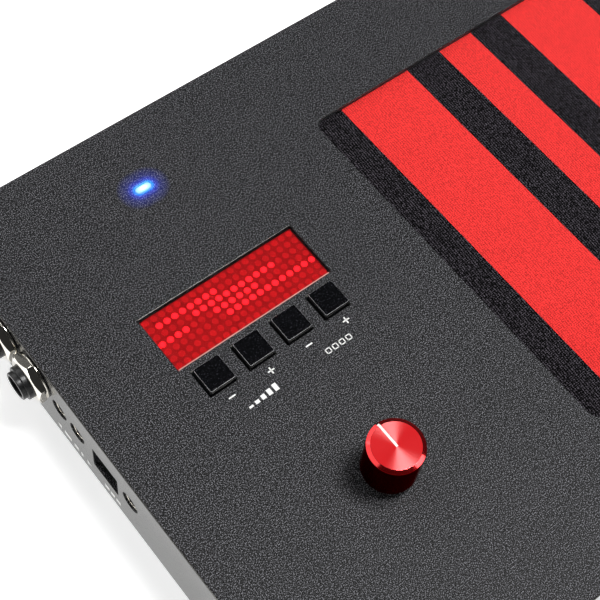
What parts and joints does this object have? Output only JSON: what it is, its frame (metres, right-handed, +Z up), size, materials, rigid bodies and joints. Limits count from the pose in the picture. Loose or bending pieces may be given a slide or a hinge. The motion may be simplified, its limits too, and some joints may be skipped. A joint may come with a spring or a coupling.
{
  "type": "electronic fingerboard controller",
  "caption": "Slim sheet-metal music controller: striped fabric playing surface over sprung sensing bars, dot-matrix window, push buttons, rotary knob and side sockets.",
  "frame": {"origin": "on the floor, under the middle of the whole object with its sockets", "axes": "+X along the case, from the socket end to the plain end; +Y to the rear edge; +Z up"},
  "size_m": [0.5164, 0.185, 0.0471],
  "materials": {
    "textured_black_coat": "fine-textured black powder coat",
    "zinc_plated_steel": "zinc-plated sheet",
    "foot_rubber": "matt black rubber",
    "striped_knit_fabric": "knit fabric in red and black stripes, bonded to foam rubber",
    "bar_aluminium": "mill-finish bar",
    "rail_aluminium": "machined",
    "circuit_board": "green solder mask",
    "display_body": "dark display modules",
    "red_filter": "polished red acrylic",
    "button_plastic": "smooth black",
    "light_pipe": "clear pipe, lit blue",
    "rotary_control_metal": "plated",
    "shaft_steel": "turned",
    "red_anodised_aluminium": "red anodised, turned top face",
    "jack_plastic": "black",
    "nut_chrome": "bright plated",
    "mini_jack_nickel": "nickel plated",
    "usb_socket_shell": "dark shell"
  },
  "bodies": {
    "case": {"top_cover": "textured_black_coat", "bottom_plate": "zinc_plated_steel", "rubber_foot_1": "foot_rubber", "rubber_foot_2": "foot_rubber", "rubber_foot_3": "foot_rubber", "rubber_foot_4": "foot_rubber", "playing_surface": "striped_knit_fabric", "rear_spring_rail": "rail_aluminium", "front_spring_rail": "rail_aluminium", "rear_sensor_board": "circuit_board", "front_sensor_board": "circuit_board", "main_board": "circuit_board", "control_board": "circuit_board", "dot_matrix_display": "display_body", "display_filter": "red_filter", "status_light_pipe": "light_pipe", "rotary_control": "rotary_control_metal", "output_jack_1": "jack_plastic", "output_jack_2": "jack_plastic", "jack_nut_1": "nut_chrome", "jack_nut_2": "nut_chrome", "mini_jack_1": "mini_jack_nickel", "mini_jack_2": "mini_jack_nickel", "mini_jack_3": "mini_jack_nickel", "usb_socket": "usb_socket_shell"},
    "button_1": {"button_cap_1": "button_plastic"},
    "button_2": {"button_cap_2": "button_plastic"},
    "button_3": {"button_cap_3": "button_plastic"},
    "button_4": {"button_cap_4": "button_plastic"},
    "knob_and_shaft": {"knob": "red_anodised_aluminium", "control_shaft": "shaft_steel"},
    "bar_01": {"sensing_bar_01": "bar_aluminium"},
    "bar_02": {"sensing_bar_02": "bar_aluminium"},
    "bar_03": {"sensing_bar_03": "bar_aluminium"},
    "bar_04": {"sensing_bar_04": "bar_aluminium"},
    "bar_05": {"sensing_bar_05": "bar_aluminium"},
    "bar_06": {"sensing_bar_06": "bar_aluminium"},
    "bar_07": {"sensing_bar_07": "bar_aluminium"},
    "bar_08": {"sensing_bar_08": "bar_aluminium"},
    "bar_09": {"sensing_bar_09": "bar_aluminium"},
    "bar_10": {"sensing_bar_10": "bar_aluminium"},
    "bar_11": {"sensing_bar_11": "bar_aluminium"},
    "bar_12": {"sensing_bar_12": "bar_aluminium"},
    "bar_13": {"sensing_bar_13": "bar_aluminium"},
    "bar_14": {"sensing_bar_14": "bar_aluminium"},
    "bar_15": {"sensing_bar_15": "bar_aluminium"},
    "bar_16": {"sensing_bar_16": "bar_aluminium"},
    "bar_17": {"sensing_bar_17": "bar_aluminium"},
    "bar_18": {"sensing_bar_18": "bar_aluminium"},
    "bar_19": {"sensing_bar_19": "bar_aluminium"},
    "bar_20": {"sensing_bar_20": "bar_aluminium"},
    "bar_21": {"sensing_bar_21": "bar_aluminium"},
    "bar_22": {"sensing_bar_22": "bar_aluminium"},
    "bar_23": {"sensing_bar_23": "bar_aluminium"},
    "bar_24": {"sensing_bar_24": "bar_aluminium"},
    "bar_25": {"sensing_bar_25": "bar_aluminium"},
    "bar_26": {"sensing_bar_26": "bar_aluminium"},
    "bar_27": {"sensing_bar_27": "bar_aluminium"},
    "bar_28": {"sensing_bar_28": "bar_aluminium"},
    "bar_29": {"sensing_bar_29": "bar_aluminium"}
  },
  "joints": [
    {"name": "knob_turn", "type": "hinge", "parent": "case", "child": "knob_and_shaft", "pos_m": [-0.19795, -0.03665, 0.0306], "axis": [0, 0, 1], "range_deg": [-150, 150]},
    {"name": "button_1_press", "type": "slide", "parent": "case", "child": "button_1", "axis": [0, 0, -1], "range_m": [0, 0.0008], "stiffness_N_per_m": 800, "springref_m": -0.0006},
    {"name": "button_2_press", "type": "slide", "parent": "case", "child": "button_2", "axis": [0, 0, -1], "range_m": [0, 0.0008], "stiffness_N_per_m": 800, "springref_m": -0.0006},
    {"name": "button_3_press", "type": "slide", "parent": "case", "child": "button_3", "axis": [0, 0, -1], "range_m": [0, 0.0008], "stiffness_N_per_m": 800, "springref_m": -0.0006},
    {"name": "button_4_press", "type": "slide", "parent": "case", "child": "button_4", "axis": [0, 0, -1], "range_m": [0, 0.0008], "stiffness_N_per_m": 800, "springref_m": -0.0006},
    {"name": "bar_01_press", "type": "slide", "parent": "case", "child": "bar_01", "axis": [0, 0, -1], "range_m": [0, 0.0025], "stiffness_N_per_m": 1000, "springref_m": -0.001, "deforming": ["rear_spring_rail", "front_spring_rail"]},
    {"name": "bar_02_press", "type": "slide", "parent": "case", "child": "bar_02", "axis": [0, 0, -1], "range_m": [0, 0.0025], "stiffness_N_per_m": 1000, "springref_m": -0.001, "deforming": ["rear_spring_rail", "front_spring_rail"]},
    {"name": "bar_03_press", "type": "slide", "parent": "case", "child": "bar_03", "axis": [0, 0, -1], "range_m": [0, 0.0025], "stiffness_N_per_m": 1000, "springref_m": -0.001, "deforming": ["rear_spring_rail", "front_spring_rail"]},
    {"name": "bar_04_press", "type": "slide", "parent": "case", "child": "bar_04", "axis": [0, 0, -1], "range_m": [0, 0.0025], "stiffness_N_per_m": 1000, "springref_m": -0.001, "deforming": ["rear_spring_rail", "front_spring_rail"]},
    {"name": "bar_05_press", "type": "slide", "parent": "case", "child": "bar_05", "axis": [0, 0, -1], "range_m": [0, 0.0025], "stiffness_N_per_m": 1000, "springref_m": -0.001, "deforming": ["rear_spring_rail", "front_spring_rail"]},
    {"name": "bar_06_press", "type": "slide", "parent": "case", "child": "bar_06", "axis": [0, 0, -1], "range_m": [0, 0.0025], "stiffness_N_per_m": 1000, "springref_m": -0.001, "deforming": ["rear_spring_rail", "front_spring_rail"]},
    {"name": "bar_07_press", "type": "slide", "parent": "case", "child": "bar_07", "axis": [0, 0, -1], "range_m": [0, 0.0025], "stiffness_N_per_m": 1000, "springref_m": -0.001, "deforming": ["rear_spring_rail", "front_spring_rail"]},
    {"name": "bar_08_press", "type": "slide", "parent": "case", "child": "bar_08", "axis": [0, 0, -1], "range_m": [0, 0.0025], "stiffness_N_per_m": 1000, "springref_m": -0.001, "deforming": ["rear_spring_rail", "front_spring_rail"]},
    {"name": "bar_09_press", "type": "slide", "parent": "case", "child": "bar_09", "axis": [0, 0, -1], "range_m": [0, 0.0025], "stiffness_N_per_m": 1000, "springref_m": -0.001, "deforming": ["rear_spring_rail", "front_spring_rail"]},
    {"name": "bar_10_press", "type": "slide", "parent": "case", "child": "bar_10", "axis": [0, 0, -1], "range_m": [0, 0.0025], "stiffness_N_per_m": 1000, "springref_m": -0.001, "deforming": ["rear_spring_rail", "front_spring_rail"]},
    {"name": "bar_11_press", "type": "slide", "parent": "case", "child": "bar_11", "axis": [0, 0, -1], "range_m": [0, 0.0025], "stiffness_N_per_m": 1000, "springref_m": -0.001, "deforming": ["rear_spring_rail", "front_spring_rail"]},
    {"name": "bar_12_press", "type": "slide", "parent": "case", "child": "bar_12", "axis": [0, 0, -1], "range_m": [0, 0.0025], "stiffness_N_per_m": 1000, "springref_m": -0.001, "deforming": ["rear_spring_rail", "front_spring_rail"]},
    {"name": "bar_13_press", "type": "slide", "parent": "case", "child": "bar_13", "axis": [0, 0, -1], "range_m": [0, 0.0025], "stiffness_N_per_m": 1000, "springref_m": -0.001, "deforming": ["rear_spring_rail", "front_spring_rail"]},
    {"name": "bar_14_press", "type": "slide", "parent": "case", "child": "bar_14", "axis": [0, 0, -1], "range_m": [0, 0.0025], "stiffness_N_per_m": 1000, "springref_m": -0.001, "deforming": ["rear_spring_rail", "front_spring_rail"]},
    {"name": "bar_15_press", "type": "slide", "parent": "case", "child": "bar_15", "axis": [0, 0, -1], "range_m": [0, 0.0025], "stiffness_N_per_m": 1000, "springref_m": -0.001, "deforming": ["rear_spring_rail", "front_spring_rail"]},
    {"name": "bar_16_press", "type": "slide", "parent": "case", "child": "bar_16", "axis": [0, 0, -1], "range_m": [0, 0.0025], "stiffness_N_per_m": 1000, "springref_m": -0.001, "deforming": ["rear_spring_rail", "front_spring_rail"]},
    {"name": "bar_17_press", "type": "slide", "parent": "case", "child": "bar_17", "axis": [0, 0, -1], "range_m": [0, 0.0025], "stiffness_N_per_m": 1000, "springref_m": -0.001, "deforming": ["rear_spring_rail", "front_spring_rail"]},
    {"name": "bar_18_press", "type": "slide", "parent": "case", "child": "bar_18", "axis": [0, 0, -1], "range_m": [0, 0.0025], "stiffness_N_per_m": 1000, "springref_m": -0.001, "deforming": ["rear_spring_rail", "front_spring_rail"]},
    {"name": "bar_19_press", "type": "slide", "parent": "case", "child": "bar_19", "axis": [0, 0, -1], "range_m": [0, 0.0025], "stiffness_N_per_m": 1000, "springref_m": -0.001, "deforming": ["rear_spring_rail", "front_spring_rail"]},
    {"name": "bar_20_press", "type": "slide", "parent": "case", "child": "bar_20", "axis": [0, 0, -1], "range_m": [0, 0.0025], "stiffness_N_per_m": 1000, "springref_m": -0.001, "deforming": ["rear_spring_rail", "front_spring_rail"]},
    {"name": "bar_21_press", "type": "slide", "parent": "case", "child": "bar_21", "axis": [0, 0, -1], "range_m": [0, 0.0025], "stiffness_N_per_m": 1000, "springref_m": -0.001, "deforming": ["rear_spring_rail", "front_spring_rail"]},
    {"name": "bar_22_press", "type": "slide", "parent": "case", "child": "bar_22", "axis": [0, 0, -1], "range_m": [0, 0.0025], "stiffness_N_per_m": 1000, "springref_m": -0.001, "deforming": ["rear_spring_rail", "front_spring_rail"]},
    {"name": "bar_23_press", "type": "slide", "parent": "case", "child": "bar_23", "axis": [0, 0, -1], "range_m": [0, 0.0025], "stiffness_N_per_m": 1000, "springref_m": -0.001, "deforming": ["rear_spring_rail", "front_spring_rail"]},
    {"name": "bar_24_press", "type": "slide", "parent": "case", "child": "bar_24", "axis": [0, 0, -1], "range_m": [0, 0.0025], "stiffness_N_per_m": 1000, "springref_m": -0.001, "deforming": ["rear_spring_rail", "front_spring_rail"]},
    {"name": "bar_25_press", "type": "slide", "parent": "case", "child": "bar_25", "axis": [0, 0, -1], "range_m": [0, 0.0025], "stiffness_N_per_m": 1000, "springref_m": -0.001, "deforming": ["rear_spring_rail", "front_spring_rail"]},
    {"name": "bar_26_press", "type": "slide", "parent": "case", "child": "bar_26", "axis": [0, 0, -1], "range_m": [0, 0.0025], "stiffness_N_per_m": 1000, "springref_m": -0.001, "deforming": ["rear_spring_rail", "front_spring_rail"]},
    {"name": "bar_27_press", "type": "slide", "parent": "case", "child": "bar_27", "axis": [0, 0, -1], "range_m": [0, 0.0025], "stiffness_N_per_m": 1000, "springref_m": -0.001, "deforming": ["rear_spring_rail", "front_spring_rail"]},
    {"name": "bar_28_press", "type": "slide", "parent": "case", "child": "bar_28", "axis": [0, 0, -1], "range_m": [0, 0.0025], "stiffness_N_per_m": 1000, "springref_m": -0.001, "deforming": ["rear_spring_rail", "front_spring_rail"]},
    {"name": "bar_29_press", "type": "slide", "parent": "case", "child": "bar_29", "axis": [0, 0, -1], "range_m": [0, 0.0025], "stiffness_N_per_m": 1000, "springref_m": -0.001, "deforming": ["rear_spring_rail", "front_spring_rail"]}
  ]
}
